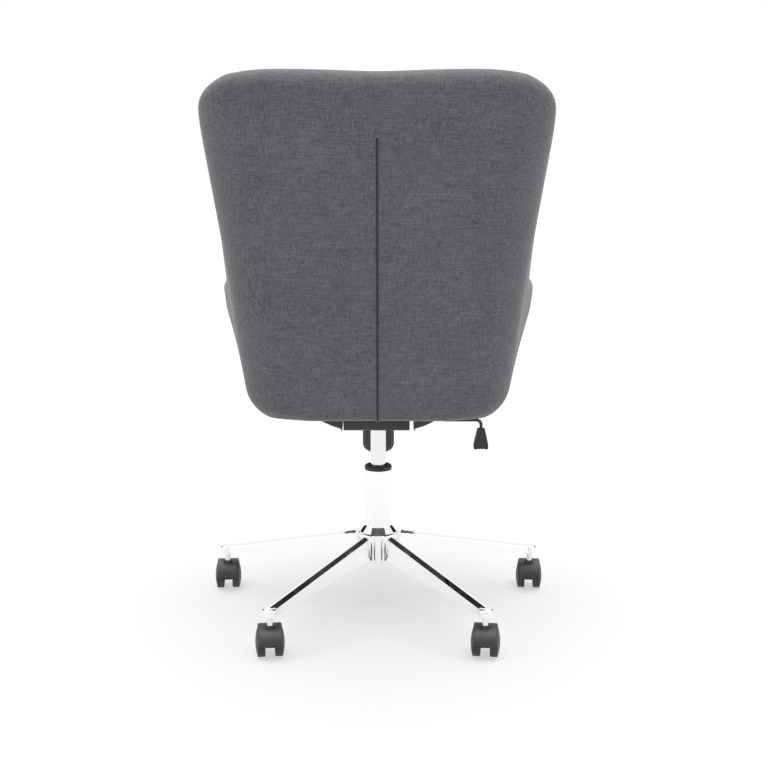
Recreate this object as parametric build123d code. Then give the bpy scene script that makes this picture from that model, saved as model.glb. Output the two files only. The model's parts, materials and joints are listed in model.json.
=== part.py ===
from build123d import *
import math
import os

# Swivel office chair: an upholstered tub on a tilting and height-adjustable column, with a
# five-legged chromed base on twin-wheel casters.
#
# Millimetres. The origin is on the floor, on the axis of the column. +Z is up. The sitter faces
# -Y, so the sitter's left is +X and the control lever is on the -X side.

# ---------------------------------------------------------------- base
STEM_CIRCLE = 310.0            # column axis to each caster stem
LEG_DIRECTIONS = {             # degrees about +Z from +X
    "front": 270.0,
    "side_left": 342.0,
    "side_right": 198.0,
    "rear_left": 54.0,
    "rear_right": 126.0,
}
CASTER_YAW = {                 # where each caster has come to rest, about its stem
    "front": 3.0,
    "side_left": 4.0,
    "side_right": -4.0,
    "rear_left": 7.0,
    "rear_right": -7.0,
}
HUB_RADIUS = 42.0
HUB_TOP = 149.0
HUB_BOTTOM = 102.0
SCALLOP_RADIUS = 18.0          # hollow between two legs, cut into the hub's edge
SCALLOP_CENTRE = 55.0
COLLAR_TOP = 160.0
COLLAR_RADIUS = 35.0
LEG_WIDTH = 19.0               # across the two sloping top facets
LEG_DRAFT = 3.0                # how much wider the leg is at its foot than at its shoulder
RIDGE_RISE = 4.0               # ridge above the shoulders
LEG_WALL = 2.2
LEG_TOP_AT_HUB = 145.5
LEG_TOP_AT_TIP = 89.5
LEG_FOOT_AT_HUB = 104.0
LEG_FOOT_AT_TIP = 76.0
TIP_RADIUS = 13.0
TIP_FOOT = 75.0

# ---------------------------------------------------------------- column
TUBE_RADIUS = 25.0
TUBE_WALL = 1.5
TUBE_FOOT = 90.0
TUBE_TOP = 267.0
TUBE_TAPER_TOP = 150.0
TUBE_TAPER_DROP = 1.5          # radius lost over the taper
PLATE = 3.0                    # floor of the outer tube
RING_TOP = 275.0
SLEEVE_FOOT = 207.0
PISTON_RADIUS = 14.0
PISTON_BORE = 12.0
PISTON_FOOT = 181.0
PISTON_TAPER_FOOT = 352.0
PISTON_TOP = 384.0
CONE_TIP_RADIUS = 13.0
ROD_RADIUS = 5.0
ROD_FOOT = 84.0
HEAD_FOOT = 236.0
HEAD_TOP = 250.0
PIN_RADIUS = 3.0
PIN_TOP = 389.0
FIT = 0.05                     # radial clearance of every running fit

# ---------------------------------------------------------------- tilt mechanism
STEEL = 2.5                    # pressed-steel thickness
BOX_LEFT = 61.5
BOX_RIGHT = -56.5
BOX_REAR = 80.0
BOX_FRONT = -125.0
BOX_FLOOR = 356.0
BOX_REAR_TOP = 373.5
BOX_SIDE_TOP = 390.5
SOCKET_RADIUS = 18.0
SOCKET_FOOT = 346.0
SOCKET_TOP = 380.0
PIVOT_Y = -30.0
PIVOT_Z = 378.0
PIVOT_RADIUS = 5.0
BUSH_RADIUS = 7.0
PLATE_TOP = 400.0              # top of the seat plate, where the seat board rests
PLATE_HALF_WIDTH = 125.0
PLATE_REAR = 75.0
PLATE_FRONT = -120.0
EAR_INNER = 64.0
EAR_FOOT = 355.0
BOLT_Y = -85.0
BOLT_RADIUS = 4.0
BALL_RADIUS = 7.0
BALL_Z = 402.3
KNOB_RADIUS = 30.0
KNOB_FOOT = 281.0
KNOB_TOP = 340.0
SPRING_RADIUS = 18.0
SPRING_WIRE = 2.5
SPRING_FOOT = 291.0
SPRING_TURNS = 6.5

# ---------------------------------------------------------------- control lever
LEVER_RADIUS = 3.0
FULCRUM_X = -55.25
FULCRUM_Z = 383.0
LEVER_BALL = 6.0
LEVER_LEVEL = 359.0
PADDLE_X = -189.5
PADDLE_TOP = 343.5
PADDLE_FOOT = 304.0

# ---------------------------------------------------------------- casters
WHEEL_RADIUS = 25.0
TRAIL = -10.0                  # stem axis to axle along Y before the yaw: they trail towards -Y
AXLE_RADIUS = 3.0
WHEEL_INNER = 8.4              # half the gap between the two wheels
WHEEL_RIM = 21.0
WHEEL_OUTER = 25.0
HOOD_RADIUS = 32.0
HOOD_HALF_WIDTH = 20.5
HOOD_CLEARANCE = 1.2
HOOD_EDGE = 28.5               # height of the hood's lower edges
WEB_HALF_WIDTH = 7.6
WEB_FOOT = 19.0
NECK_RADIUS = 7.5
NECK_TOP = 58.5
STEM_RADIUS = 5.5
STEM_FOOT = 52.0
STEM_TOP = 86.0
SOCKET_WALL = 2.5

# ---------------------------------------------------------------- upholstered tub
TUB_FOOT = 400.4
TUB_TOP = 971.0
FOOT_ROUND = 38.0              # roll of the outer face into the underside
RIM_ROUND = 26.0               # roll of the outer face into the top edge
LEAN = math.tan(math.radians(11.5))
REAR_Y = 216.0                 # outer rear face at REAR_Z
REAR_Z = 455.0
REAR_HALF_WIDTH = 218.0        # outer rear corner at REAR_Z
REAR_SPREAD = 0.103            # widening of the rear corner per unit of height
SHOULDER_Z = 700.0             # from here to SHOULDER_TOP the back widens faster
SHOULDER_TOP = 885.0
SHOULDER_SPREAD = 0.038
SPLAY = 0.1336                 # outward run of the sides per unit of depth, at SPLAY_Z
SPLAY_Z = 438.0
SPLAY_RISE = 0.00031
SPLAY_MOST = 0.165
ARM_FRONT = -240.0
CORNER = 50.0                  # plan radius of the outer rear corners
BACK_TOP_HALF_WIDTH = 283.0
TOP_CORNER = 90.0
COVER = 14.0                   # outer foam and fabric
SHELL_OUT = 14.4
SHELL_IN = 26.0
PAD_OUT = 14.4
ARM_PAD = 60.0                 # outer face to the sitter's side of an arm
BACK_PAD = 98.0                # outer face to the sitter's side of the back
SHELL_DROP = 16.0              # the shell stops this far below the upholstered edge
BOARD_FOOT = 402.0
BOARD_TOP = 417.0
PAD_FOOT = 417.4               # the pads and the cushion stand just above the board
CUSHION_TOP = 497.0
CUSHION_GAP = 1.2
CUSHION_FRONT = -278.0
ZIP_HALF = 1.6
ZIP_DEPTH = 4.0
ZIP_FOOT = 424.0
ZIP_TOP = 868.0
BOLT_X = 92.0
BOLT_YS = (-78.0, 55.0)


# ================================================================ helpers
def box(x0, x1, y0, y1, z0, z1):
    size = (x1 - x0, y1 - y0, z1 - z0)
    return Pos(x0, y0, z0) * Box(*size, align=(Align.MIN, Align.MIN, Align.MIN))


def rod(radius, z0, z1, x=0.0, y=0.0):
    align = (Align.CENTER, Align.CENTER, Align.MIN)
    return Pos(x, y, z0) * Cylinder(radius, z1 - z0, align=align)


def bar(radius, x0, x1, y=0.0, z=0.0):
    """A round bar along X."""
    align = (Align.CENTER, Align.CENTER, Align.MIN)
    return Pos(x0, y, z) * Rot(0, 90, 0) * Cylinder(radius, x1 - x0, align=align)


def cone(radius0, radius1, z0, z1):
    align = (Align.CENTER, Align.CENTER, Align.MIN)
    return Pos(0, 0, z0) * Cone(radius0, radius1, z1 - z0, align=align)


def ring(outer, inner, z0, z1, x=0.0, y=0.0):
    return rod(outer, z0, z1, x, y) - rod(inner, z0 - 1, z1 + 1, x, y)


def side_profile(points, radii, x0, x1):
    """A solid with a filleted (y, z) outline, from x0 to x1."""
    outline = FilletPolyline(*[(x0, y, z) for y, z in points], radius=radii, close=True)
    return extrude(make_face(outline), amount=x1 - x0, dir=(1, 0, 0))


def front_profile(points, radii, y0, y1):
    """A solid with a filleted (x, z) outline, from y0 to y1."""
    outline = FilletPolyline(*[(x, y0, z) for x, z in points], radius=radii, close=True)
    return extrude(make_face(outline), amount=y1 - y0, dir=(0, 1, 0))


def at_leg(part, name):
    """Turns a part drawn along +X to a leg's direction."""
    return Rot(0, 0, LEG_DIRECTIONS[name]) * part


def at_stem(part, name):
    """Puts a caster part, drawn about its own stem, under the tip of a leg."""
    angle = math.radians(LEG_DIRECTIONS[name])
    place = Pos(STEM_CIRCLE * math.cos(angle), STEM_CIRCLE * math.sin(angle), 0)
    return place * Rot(0, 0, CASTER_YAW[name]) * part


def one(parts):
    return Compound(children=list(parts))


# ================================================================ base
def outer_tube_solid(grow=0.0):
    """The outside of the column's lower tube, tapered where it sits in the hub."""
    foot_radius = TUBE_RADIUS - TUBE_TAPER_DROP + grow
    taper = cone(foot_radius, TUBE_RADIUS + grow, TUBE_FOOT, TUBE_TAPER_TOP)
    return taper + rod(TUBE_RADIUS + grow, TUBE_TAPER_TOP, TUBE_TOP)


def base_hub():
    hub = rod(HUB_RADIUS, HUB_BOTTOM, HUB_TOP)
    scallop = rod(SCALLOP_RADIUS, HUB_BOTTOM - 1, HUB_TOP + 1, SCALLOP_CENTRE)
    for name in LEG_DIRECTIONS:
        hub -= Rot(0, 0, LEG_DIRECTIONS[name] + 36) * scallop
    top_edges = hub.faces().sort_by(Axis.Z)[-1].edges()
    hub = fillet(top_edges, 2.5)
    collar = cone(COLLAR_RADIUS, TUBE_RADIUS + 1.2, HUB_TOP - 0.5, COLLAR_TOP)
    return hub + collar - outer_tube_solid()


def leg_section(x, width, draft, foot, shoulder, ridge):
    half = width / 2
    outline = Polyline(
        (x, -half - draft, foot),
        (x, half + draft, foot),
        (x, half, shoulder),
        (x, 0, ridge),
        (x, -half, shoulder),
        close=True,
    )
    return make_face(outline)


def leg_spar(wall):
    """The straight run of a leg along +X, with its faces moved in by a wall thickness."""
    inner_x = HUB_RADIUS - 12
    slope = (LEG_TOP_AT_TIP - LEG_TOP_AT_HUB) / (STEM_CIRCLE - HUB_RADIUS)
    top_at_start = LEG_TOP_AT_HUB + slope * (inner_x - HUB_RADIUS) - wall
    top_at_tip = LEG_TOP_AT_TIP - wall
    width = LEG_WIDTH - 2 * wall
    sections = [
        leg_section(
            inner_x,
            width,
            LEG_DRAFT,
            LEG_FOOT_AT_HUB - wall,
            top_at_start - RIDGE_RISE,
            top_at_start,
        ),
        leg_section(
            STEM_CIRCLE, width, 1.0, LEG_FOOT_AT_TIP - wall, top_at_tip - RIDGE_RISE, top_at_tip
        ),
    ]
    return loft(sections, ruled=True)


def leg():
    """A crowned channel along +X, open below, closed at the hub by the hub's round wall."""
    spar = leg_spar(0)
    along = [e for e in spar.edges() if abs(e.center().Z - LEG_FOOT_AT_HUB) < 60]
    long_edges = [e for e in along if e.length > 200 and e.center().Z > 95]
    spar = fillet(long_edges, 1.6)
    spar -= leg_spar(LEG_WALL)
    spar -= rod(HUB_RADIUS, 0, 200)
    tip = rod(TIP_RADIUS, TIP_FOOT, LEG_TOP_AT_TIP - 1.0, STEM_CIRCLE)
    tip = fillet(tip.edges().filter_by(GeomType.CIRCLE).sort_by(Axis.Z)[-1], 5)
    bore = rod(STEM_RADIUS + SOCKET_WALL, TIP_FOOT - 5, STEM_TOP + 1.5, STEM_CIRCLE)
    return spar + tip - bore


def stem_sockets():
    """Plastic bushes pressed into the leg tips, each gripping one caster stem."""
    parts = []
    for name in LEG_DIRECTIONS:
        bush = rod(STEM_RADIUS + SOCKET_WALL, TIP_FOOT - 0.5, STEM_TOP + 1.5, STEM_CIRCLE)
        bush -= rod(STEM_RADIUS + 0.02, 0, STEM_TOP + 0.3, STEM_CIRCLE)
        parts.append(at_leg(bush, name))
    return one(parts)


def outer_tube():
    bore = cone(
        TUBE_RADIUS - TUBE_TAPER_DROP - TUBE_WALL,
        TUBE_RADIUS - TUBE_WALL,
        TUBE_FOOT + PLATE,
        TUBE_TAPER_TOP,
    )
    bore += rod(TUBE_RADIUS - TUBE_WALL, TUBE_TAPER_TOP, TUBE_TOP + 1)
    return outer_tube_solid() - bore - rod(ROD_RADIUS + 0.3, TUBE_FOOT - 1, TUBE_FOOT + PLATE + 1)


def guide_sleeve():
    """Black bush lining the top of the outer tube, with a rolled collar on the rim."""
    bore = PISTON_RADIUS + FIT
    sleeve = ring(TUBE_RADIUS - TUBE_WALL, bore, SLEEVE_FOOT, TUBE_TOP)
    collar = rod(TUBE_RADIUS + 0.3, TUBE_TOP, RING_TOP)
    collar = fillet(collar.edges().filter_by(GeomType.CIRCLE), 3.6)
    collar -= cone(bore, bore + 4.0, RING_TOP - 3.0, RING_TOP + 0.2)
    collar -= rod(bore, TUBE_TOP - 1, RING_TOP + 1)
    return sleeve + collar


def bearing_lower_race():
    return ring(15, 7, TUBE_FOOT + PLATE, TUBE_FOOT + PLATE + 2)


def bearing_cage():
    """Thrust cage with its ring of balls."""
    low = TUBE_FOOT + PLATE + 2
    cage = ring(14.2, 7.8, low + 0.8, low + 2.2)
    for i in range(10):
        ball = Pos(11, 0, low + 1.5) * Sphere(1.47)
        cage += Rot(0, 0, 36 * i) * ball
    return cage


def bearing_upper_race():
    low = TUBE_FOOT + PLATE + 5
    return ring(15, ROD_RADIUS, low, low + 2)


def rubber_buffer():
    low = TUBE_FOOT + PLATE + 7
    buffer = ring(12, ROD_RADIUS, low, low + 9.5)
    return fillet(buffer.edges().filter_by(GeomType.CIRCLE).sort_by(Axis.Z)[-1], 2)


def piston_rod():
    shaft = rod(ROD_RADIUS, ROD_FOOT, HEAD_FOOT)
    shaft += rod(ROD_RADIUS + 3, ROD_FOOT + 3, ROD_FOOT + 5.5)
    head = rod(PISTON_BORE - FIT, HEAD_FOOT, HEAD_TOP)
    groove = ring(PISTON_BORE + 1, PISTON_BORE - 2, HEAD_FOOT + 5, HEAD_FOOT + 9)
    return shaft + head - groove


# ================================================================ lift column
def pressure_tube():
    body = rod(PISTON_RADIUS, PISTON_FOOT, PISTON_TAPER_FOOT)
    body += cone(PISTON_RADIUS, CONE_TIP_RADIUS, PISTON_TAPER_FOOT, PISTON_TOP)
    body -= rod(PISTON_BORE, PISTON_FOOT - 1, PISTON_TAPER_FOOT - 4)
    return body - rod(PIN_RADIUS + FIT, PISTON_TAPER_FOOT - 10, PISTON_TOP + 1)


def tube_end_guide():
    """Seal and guide that closes the pressure tube round the rod."""
    return ring(PISTON_BORE, ROD_RADIUS + FIT, PISTON_FOOT + 1, PISTON_FOOT + 17)


def release_pin():
    pin = rod(PIN_RADIUS, PISTON_TAPER_FOOT, PIN_TOP)
    return fillet(pin.edges().filter_by(GeomType.CIRCLE).sort_by(Axis.Z)[-1], 1)


def socket_cone():
    bore = rod(PISTON_RADIUS + FIT, SOCKET_FOOT - 1, PISTON_TAPER_FOOT)
    return bore + cone(PISTON_RADIUS, CONE_TIP_RADIUS, PISTON_TAPER_FOOT, PISTON_TOP)


def cone_socket():
    """Tapered tube welded into the mechanism's floor; the column jams into it."""
    return rod(SOCKET_RADIUS, SOCKET_FOOT, SOCKET_TOP) - socket_cone()


def mechanism_body():
    """Pressed channel, open at the top, with low walls behind the pivot for the tilt."""
    points = [
        (BOX_FRONT, BOX_FLOOR),
        (BOX_REAR, BOX_FLOOR),
        (BOX_REAR, BOX_REAR_TOP),
        (PIVOT_Y + 22, BOX_SIDE_TOP - 3),
        (PIVOT_Y - 12, BOX_SIDE_TOP),
        (BOX_FRONT, BOX_SIDE_TOP),
    ]
    body = side_profile(points, [10, 6, 2, 12, 12, 8], BOX_RIGHT, BOX_LEFT)
    body -= box(
        BOX_RIGHT + STEEL,
        BOX_LEFT - STEEL,
        BOX_FRONT + STEEL,
        BOX_REAR - STEEL,
        BOX_FLOOR + STEEL,
        BOX_SIDE_TOP + 20,
    )
    body -= rod(SOCKET_RADIUS, BOX_FLOOR - 1, BOX_FLOOR + STEEL + 1)
    for side_x in (BOX_RIGHT - 1, BOX_LEFT - STEEL - 1):
        body -= bar(BUSH_RADIUS, side_x, side_x + STEEL + 2, PIVOT_Y, PIVOT_Z)
    body -= bar(LEVER_BALL + FIT, BOX_RIGHT - 1, BOX_RIGHT + STEEL + 1, 0, FULCRUM_Z)
    slot = rod(BOLT_RADIUS + 1.5, BOX_FLOOR - 1, BOX_FLOOR + STEEL + 1, 0, BOLT_Y)
    slot += rod(BOLT_RADIUS + 1.5, BOX_FLOOR - 1, BOX_FLOOR + STEEL + 1, 0, BOLT_Y + 7)
    slot += box(-5.5, 5.5, BOLT_Y, BOLT_Y + 7, BOX_FLOOR - 1, BOX_FLOOR + STEEL + 1)
    return body - slot


def tilt_bushes():
    """Flanged plastic bushes that carry the pivot pin in the channel's two walls."""
    parts = []
    for wall, out in ((BOX_RIGHT, -1), (BOX_LEFT, 1)):
        inner = wall - out * (STEEL + 1)
        outer = wall + out * 2.0
        low, high = min(inner, outer), max(inner, outer)
        bush = bar(BUSH_RADIUS, low, high, PIVOT_Y, PIVOT_Z)
        flange_low = min(wall, outer)
        bush += bar(BUSH_RADIUS + 3, flange_low, flange_low + 2.0, PIVOT_Y, PIVOT_Z)
        bush -= bar(PIVOT_RADIUS + FIT, low - 1, high + 1, PIVOT_Y, PIVOT_Z)
        parts.append(bush)
    return one(parts)


def spring_path():
    height = BOX_FLOOR - SPRING_FOOT - 2 * SPRING_WIRE
    pitch = height / SPRING_TURNS
    start = SPRING_FOOT + SPRING_WIRE
    return Pos(0, BOLT_Y, start) * Helix(pitch=pitch, height=height, radius=SPRING_RADIUS)


def tension_spring():
    path = spring_path()
    section = Plane(path @ 0, z_dir=path % 0) * Circle(SPRING_WIRE)
    return sweep(section, path=path)


# ================================================================ tilting plate and its fasteners
def seat_plate():
    """Pressed plate under the seat: a flat top, two ears for the pivot and four gussets."""
    inner, outer = EAR_INNER, EAR_INNER + STEEL
    top_foot = PLATE_TOP - STEEL
    plate = box(-PLATE_HALF_WIDTH, PLATE_HALF_WIDTH, PLATE_FRONT, PLATE_REAR, top_foot, PLATE_TOP)
    plate = fillet(plate.edges().filter_by(Axis.Z), 14)
    ear_outline = [
        (PLATE_REAR, top_foot + 0.5),
        (PLATE_REAR, EAR_FOOT),
        (PLATE_REAR - 40, EAR_FOOT),
        (PIVOT_Y - 15, PIVOT_Z - 14),
        (PLATE_FRONT + 20, top_foot + 0.5),
    ]
    for low in (inner, -outer):
        ear = side_profile(ear_outline, [0, 3, 10, 14, 0], low, low + STEEL)
        plate += ear
    gusset_outline = [
        (outer - 0.5, top_foot + 0.5),
        (outer - 0.5, 359.0),
        (82, 364.0),
        (103, 374.0),
        (118, top_foot + 0.5),
    ]
    for low in (PLATE_REAR - STEEL, PIVOT_Y - 30):
        gusset = front_profile(gusset_outline, [0, 0, 30, 16, 0], low, low + STEEL)
        plate += gusset
        plate += mirror(gusset, Plane.YZ)
    plate -= bar(PIVOT_RADIUS, -outer - 1, outer + 1, PIVOT_Y, PIVOT_Z)
    plate -= rod(22, top_foot - 1, PLATE_TOP + 1)
    plate -= box(-50, 0, -9, 9, top_foot - 1, PLATE_TOP + 1)
    plate -= rod(BALL_RADIUS - 0.3, top_foot - 1, PLATE_TOP + 1, 0, BOLT_Y)
    plate -= box(-outer - 1, -inner + 1, -11, 13, 372, top_foot)
    for x in (-BOLT_X, BOLT_X):
        for y in BOLT_YS:
            plate -= rod(3.3, top_foot - 1, PLATE_TOP + 1, x, y)
    return plate


def pivot_pin():
    reach = EAR_INNER + STEEL
    pin = bar(PIVOT_RADIUS, -reach, reach + 2, PIVOT_Y, PIVOT_Z)
    head = bar(PIVOT_RADIUS + 2.5, reach, reach + 3, PIVOT_Y, PIVOT_Z)
    clip = bar(PIVOT_RADIUS + 1.5, -reach - 2, -reach, PIVOT_Y, PIVOT_Z)
    return pin + head + clip


def fastener_places():
    return [(x, y) for x in (-BOLT_X, BOLT_X) for y in BOLT_YS]


def seat_bolts():
    """Four hex bolts with washers, up through the plate into the seat board."""
    parts = []
    for x, y in fastener_places():
        under = PLATE_TOP - STEEL
        bolt = rod(3.0, under - 1.5, BOARD_TOP - 2, x, y)
        bolt += rod(8.0, under - 1.5, under, x, y)
        head = extrude(Pos(x, y, under - 6.0) * RegularPolygon(6.2, 6), amount=4.5)
        parts.append(bolt + head)
    return one(parts)


def t_nuts():
    """Flanged threaded inserts sunk in the seat board, one for each bolt."""
    parts = []
    for x, y in fastener_places():
        nut = rod(4.5, BOARD_FOOT + 2, BOARD_TOP - 1.5, x, y)
        nut += rod(9.0, BOARD_TOP - 1.5, BOARD_TOP, x, y)
        parts.append(nut - rod(3.0, BOARD_FOOT, BOARD_TOP - 2, x, y))
    return one(parts)


def tension_bolt():
    ball = Pos(0, BOLT_Y, BALL_Z) * Sphere(BALL_RADIUS)
    ball -= box(-10, 10, BOLT_Y - 10, BOLT_Y + 10, BALL_Z + 3.5, BALL_Z + 20)
    return ball + rod(BOLT_RADIUS, KNOB_FOOT + 5, BALL_Z, 0, BOLT_Y)


def tension_knob():
    """Fluted cup that holds the foot of the tilt spring."""
    knob = rod(KNOB_RADIUS, KNOB_FOOT, KNOB_TOP, 0, BOLT_Y)
    knob = fillet(knob.edges().filter_by(GeomType.CIRCLE).sort_by(Axis.Z)[0], 15)
    flute_count = 16
    for i in range(flute_count):
        angle = 2 * math.pi * i / flute_count
        x = (KNOB_RADIUS + 3.2) * math.cos(angle)
        y = BOLT_Y + (KNOB_RADIUS + 3.2) * math.sin(angle)
        knob -= rod(4.6, KNOB_FOOT - 1, KNOB_TOP - 6, x, y)
    inside_foot = SPRING_FOOT - 0.4
    knob -= rod(SPRING_RADIUS + SPRING_WIRE + 1.5, inside_foot, KNOB_TOP + 1, 0, BOLT_Y)
    knob += rod(9.0, inside_foot - 1, inside_foot + 14, 0, BOLT_Y)
    return knob - rod(BOLT_RADIUS + FIT, KNOB_FOOT + 4.5, KNOB_TOP, 0, BOLT_Y)


# ================================================================ control lever
def lever_bush():
    """Ball-shaped plastic bush in the channel's wall: the lever rocks and slides in it."""
    ball = Pos(FULCRUM_X, 0, FULCRUM_Z) * Sphere(LEVER_BALL)
    return ball - bar(LEVER_RADIUS + FIT, FULCRUM_X - 10, FULCRUM_X + 10, 0, FULCRUM_Z)


def lever_rod():
    tongue_z = PIN_TOP + 1.6
    points = [
        (-14, 0, tongue_z),
        (-24, 0, tongue_z),
        (-34, 0, FULCRUM_Z),
        (-82, 0, FULCRUM_Z),
        (-118, 0, LEVER_LEVEL),
        (PADDLE_X, 0, LEVER_LEVEL),
        (PADDLE_X, 0, PADDLE_TOP - 14),
    ]
    path = FilletPolyline(*points, radius=[6, 6, 18, 18, 9])
    wire = sweep(Plane(path @ 0, z_dir=path % 0) * Circle(LEVER_RADIUS), path=path)
    tongue = box(-20, 10, -7, 7, PIN_TOP + 0.1, PIN_TOP + 2.6)
    tongue = fillet(tongue.edges().filter_by(Axis.Z), 5)
    return wire + tongue


def lever_paddle():
    """Moulded grip, narrow at the rod and wide at the foot, with a scalloped lower edge."""
    top, foot = 6.8, 13.6
    outline = [
        (PADDLE_X - top, PADDLE_TOP),
        (PADDLE_X - foot, PADDLE_FOOT + 9),
        (PADDLE_X - foot + 0.6, PADDLE_FOOT),
        (PADDLE_X + foot - 0.6, PADDLE_FOOT),
        (PADDLE_X + foot, PADDLE_FOOT + 9),
        (PADDLE_X + top, PADDLE_TOP),
    ]
    paddle = front_profile(outline, [1.5, 6, 3, 3, 6, 1.5], -5, 5)
    for x in (PADDLE_X - 5.6, PADDLE_X, PADDLE_X + 5.6):
        scallop = Pos(x, 0, PADDLE_FOOT - 2.6) * Rot(90, 0, 0) * Cylinder(4.0, 20)
        paddle -= scallop
    return paddle - rod(LEVER_RADIUS, PADDLE_TOP - 14, PADDLE_TOP + 1, PADDLE_X)


# ================================================================ casters
def caster_stem():
    """A steel stem with a snap groove, gripped by the bush in a leg tip."""
    stem = rod(STEM_RADIUS, STEM_FOOT, STEM_TOP)
    stem = fillet(stem.edges().filter_by(GeomType.CIRCLE).sort_by(Axis.Z)[-1], 2)
    groove = ring(STEM_RADIUS + 1, STEM_RADIUS - 1, STEM_TOP - 6.0, STEM_TOP - 4.0)
    return stem - groove


def caster_housing():
    """Hood over both wheels, the web between them, and the neck round the stem."""
    hood = bar(HOOD_RADIUS, -HOOD_HALF_WIDTH, HOOD_HALF_WIDTH, TRAIL, WHEEL_RADIUS)
    hood = fillet(hood.edges().filter_by(GeomType.CIRCLE), 3)
    for low in (-HOOD_HALF_WIDTH - 1, WEB_HALF_WIDTH):
        hollow_radius = WHEEL_RADIUS + HOOD_CLEARANCE
        wide = HOOD_HALF_WIDTH + 1 - WEB_HALF_WIDTH
        hood -= bar(hollow_radius, low, low + wide, TRAIL, WHEEL_RADIUS)
    hood -= box(-30, -WEB_HALF_WIDTH, -60, 60, -10, HOOD_EDGE)
    hood -= box(WEB_HALF_WIDTH, 30, -60, 60, -10, HOOD_EDGE)
    hood -= box(-30, 30, -60, 60, -10, WEB_FOOT)
    hood -= box(-30, 30, TRAIL + 14, 60, -10, HOOD_EDGE)
    hood -= box(-30, 30, -60, TRAIL - 14, -10, HOOD_EDGE)
    neck = rod(NECK_RADIUS, WHEEL_RADIUS + HOOD_RADIUS - 12, NECK_TOP)
    hood += neck - bar(WHEEL_RADIUS + HOOD_CLEARANCE, -20, 20, TRAIL, WHEEL_RADIUS)
    hood -= rod(STEM_RADIUS + FIT, STEM_FOOT - 0.5, 90)
    return hood - bar(AXLE_RADIUS, -9, 9, TRAIL, WHEEL_RADIUS)


def caster_axle():
    return bar(AXLE_RADIUS, -19.5, 19.5, TRAIL, WHEEL_RADIUS)


def caster_wheel():
    """One wheel on the +X side: a broad tread, a domed outer face and a hub round the axle."""
    bore = AXLE_RADIUS + FIT
    edge = 1.0
    tread = Polyline(
        (20.0, 0),
        (20.0, bore),
        (WHEEL_INNER, bore),
        (WHEEL_INNER, 8),
        (WHEEL_INNER + 5, 8),
        (WHEEL_INNER + 5, 19),
        (WHEEL_INNER, 19),
        (WHEEL_INNER, WHEEL_RADIUS - edge),
        (WHEEL_INNER + edge, WHEEL_RADIUS),
        (WHEEL_RIM, WHEEL_RADIUS),
    )
    bulge = WHEEL_OUTER - WHEEL_RIM
    dome_radius = (WHEEL_RADIUS**2 + bulge**2) / (2 * bulge)
    half_angle = math.asin(WHEEL_RADIUS / dome_radius) / 2
    middle = (
        WHEEL_OUTER - dome_radius * (1 - math.cos(half_angle)),
        dome_radius * math.sin(half_angle),
    )
    dome = ThreePointArc((WHEEL_RIM, WHEEL_RADIUS), middle, (WHEEL_OUTER, 0))
    half_section = make_face([tread, dome, Line((WHEEL_OUTER, 0), (20.0, 0))])
    return Pos(0, TRAIL, WHEEL_RADIUS) * revolve(half_section, Axis.X)


# ================================================================ upholstered tub
def foot_and_rim_inset(z):
    """How far the outer face has rolled inwards at a height, at the underside and top edge."""
    inset = 0.0
    below = TUB_FOOT + FOOT_ROUND - z
    if below > 0:
        inset = FOOT_ROUND - math.sqrt(FOOT_ROUND**2 - below**2)
    above = z - (TUB_TOP - RIM_ROUND)
    if above > 0:
        inset = RIM_ROUND - math.sqrt(RIM_ROUND**2 - above**2)
    return inset


def outline_at(z, depth):
    """Where the tub's plan turns at a height, moved in from the outer face by a depth.

    The half width at the front, then the half width and the y of the rear corners.
    """
    inset = depth + foot_and_rim_inset(z)
    rear_y = REAR_Y + (z - REAR_Z) * LEAN
    rear_x = REAR_HALF_WIDTH + (z - REAR_Z) * REAR_SPREAD
    rear_x += (min(max(z, SHOULDER_Z), SHOULDER_TOP) - SHOULDER_Z) * SHOULDER_SPREAD
    splay = min(SPLAY_MOST, SPLAY + SPLAY_RISE * (z - SPLAY_Z))
    slant = math.hypot(1, splay)
    inner_rear_y = rear_y - inset
    inner_rear_x = rear_x - inset * slant + splay * inset
    front_x = rear_x - inset * slant + splay * (rear_y - ARM_FRONT)
    return front_x, inner_rear_x, inner_rear_y


def band_face(z, outer, inner):
    """A U-shaped strip, open to the front, between two depths from the outer face."""
    front_out, rear_out, y_out = outline_at(z, outer)
    front_in, rear_in, y_in = outline_at(z, inner)
    outer_round = max(CORNER - outer, 8)
    inner_round = max(CORNER - inner, 8)
    points = [
        (-front_out, ARM_FRONT, z),
        (-rear_out, y_out, z),
        (rear_out, y_out, z),
        (front_out, ARM_FRONT, z),
        (front_in, ARM_FRONT, z),
        (rear_in, y_in, z),
        (-rear_in, y_in, z),
        (-front_in, ARM_FRONT, z),
    ]
    radii = [1, outer_round, outer_round, 1, 1, inner_round, inner_round, 1]
    return make_face(FilletPolyline(*points, radius=radii, close=True))


def tub_levels():
    """Heights of the tub's sections: where its slopes change, and close together at the edges."""
    rolling_in = [TUB_FOOT + FOOT_ROUND * share for share in (0.0, 0.1, 0.5, 1.0)]
    rolling_out = [TUB_TOP - RIM_ROUND * share for share in (1.0, 0.5, 0.2, 0.03)]
    splay_top = SPLAY_Z + (SPLAY_MOST - SPLAY) / SPLAY_RISE
    return sorted(rolling_in + [PAD_FOOT, splay_top, SHOULDER_Z, SHOULDER_TOP] + rolling_out)


def band(outer, inner):
    return loft([band_face(z, outer, inner) for z in tub_levels()], ruled=True)


def trim_profile(drop):
    """What stays of the tub seen from the side: arms, the sweep up, and the wings of the back."""
    points = [
        (ARM_FRONT + drop, 390),
        (ARM_FRONT + drop, 480),
        (ARM_FRONT + 14 + drop, 606 - drop),
        (68 + drop, 636 - drop),
        (140 + drop, 716 - drop),
        (196 + drop, 940),
        (212 + drop, 1010),
        (420, 1010),
        (420, 390),
    ]
    return side_profile(points, [0, 40, 45, 60, 70, 0, 0, 0, 0], -400, 400)


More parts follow.
